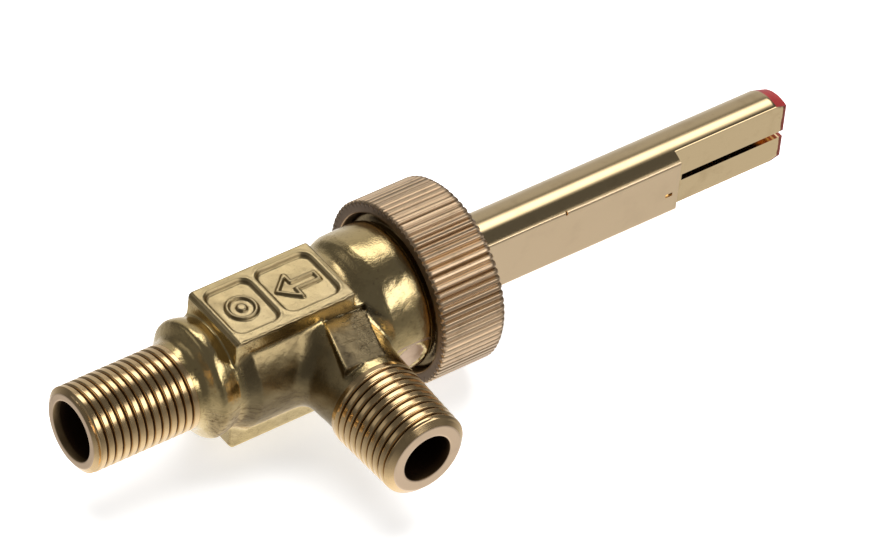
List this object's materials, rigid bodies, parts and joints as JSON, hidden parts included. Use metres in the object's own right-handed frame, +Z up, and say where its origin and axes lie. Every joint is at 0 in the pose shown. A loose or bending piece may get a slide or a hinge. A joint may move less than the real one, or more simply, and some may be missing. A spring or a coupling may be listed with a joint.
{
  "type": "gas valve",
  "caption": "Push-and-turn brass gas burner valve: threaded outlet, side inlet leg, taper plug, knurled bonnet and split flat-sided stem.",
  "frame": {"origin": "centre of the outlet nipple's end face", "axes": "+X along the main axis from the outlet to the stem's tip, +Z up through the top pad, the inlet leg points along -Y"},
  "size_m": [0.0897, 0.032, 0.0202],
  "materials": {
    "forged_brass": "bright dipped forging, machined threads",
    "drawn_brass": "drawn rod with milled flats",
    "turned_brass": "turned and knurled, semi-matt",
    "lapped_brass": "lapped taper",
    "spring_steel": "drawn spring wire and strip",
    "plated_steel": "zinc plated",
    "nitrile_rubber": "moulded",
    "fibre_gasket": "pressed fibre",
    "bronze_bush": "sintered",
    "red_paint": "thin brushed paint"
  },
  "bodies": {
    "root": {"valve_body": "forged_brass", "stop_plate": "plated_steel", "cone_washer": "spring_steel", "bonnet_gasket": "fibre_gasket", "seal_washer": "plated_steel", "stem_seal": "nitrile_rubber", "stem_bushing": "bronze_bush", "knurled_bonnet": "turned_brass"},
    "plug": {"taper_plug": "lapped_brass", "thrust_washer": "plated_steel", "stem_spring": "spring_steel"},
    "stem": {"stem": "drawn_brass", "spring_plate": "plated_steel", "drive_pin": "plated_steel", "tip_paint": "red_paint"}
  },
  "joints": [
    {"name": "turn", "type": "hinge", "parent": "root", "child": "plug", "pos_m": [0.0285, 0, 0], "axis": [1, 0, 0], "range_deg": [0, 90]},
    {"name": "push", "type": "slide", "parent": "plug", "child": "stem", "axis": [-1, 0, 0], "range_m": [0, 0.0016], "stiffness_N_per_m": 2000, "springref_m": -0.0015, "deforming": ["stem_spring"]}
  ]
}
